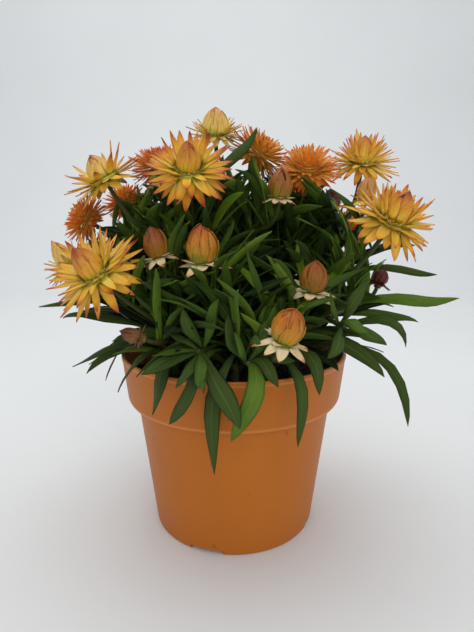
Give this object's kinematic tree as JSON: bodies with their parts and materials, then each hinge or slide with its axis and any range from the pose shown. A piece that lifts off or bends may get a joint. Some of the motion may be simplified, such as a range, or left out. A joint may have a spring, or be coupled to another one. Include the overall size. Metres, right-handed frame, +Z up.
{
  "type": "potted strawflower",
  "caption": "Living strawflower with papery yellow and orange heads and narrow leaves, growing in a round collared plastic nursery pot.",
  "frame": {"origin": "middle of the pot's flat underside, at the level of its feet", "axes": "+Z up the plant, -Y towards the side that the picture shows, +X to its right"},
  "size_m": [0.2125, 0.1762, 0.2395],
  "materials": {
    "pot_plastic": "satin moulded",
    "soil": "loose peat, at a fabric's density",
    "yellow_bracts": "dry, papery",
    "orange_bracts": "dry, papery",
    "bud_bracts": "dry, papery",
    "foliage": "matte, softly hairy"
  },
  "bodies": {
    "root": {"pot": "pot_plastic", "soil": "soil", "young_bloom_1": "yellow_bracts", "young_bloom_2": "yellow_bracts", "young_bloom_3": "yellow_bracts", "young_bloom_4": "yellow_bracts", "young_bloom_5": "yellow_bracts", "young_bloom_6": "yellow_bracts", "young_bloom_7": "yellow_bracts", "young_bloom_8": "yellow_bracts", "young_bloom_9": "yellow_bracts", "full_bloom_1": "orange_bracts", "full_bloom_2": "orange_bracts", "full_bloom_3": "orange_bracts", "full_bloom_4": "orange_bracts", "full_bloom_5": "orange_bracts", "full_bloom_6": "orange_bracts", "full_bloom_7": "orange_bracts", "bud_1": "bud_bracts", "bud_2": "bud_bracts", "bud_3": "bud_bracts", "bud_4": "bud_bracts", "bud_5": "bud_bracts", "bud_6": "bud_bracts", "bud_7": "bud_bracts", "bud_8": "bud_bracts", "bud_9": "bud_bracts", "bud_10": "bud_bracts", "bud_11": "bud_bracts", "leafy_stem_1": "foliage", "leafy_stem_2": "foliage", "leafy_stem_3": "foliage", "leafy_stem_4": "foliage", "leafy_stem_5": "foliage", "leafy_stem_6": "foliage", "leafy_stem_7": "foliage", "leafy_stem_8": "foliage", "leafy_stem_9": "foliage", "leafy_stem_10": "foliage", "leafy_stem_11": "foliage", "leafy_stem_12": "foliage", "leafy_stem_13": "foliage", "leafy_stem_14": "foliage"}
  },
  "joints": []
}
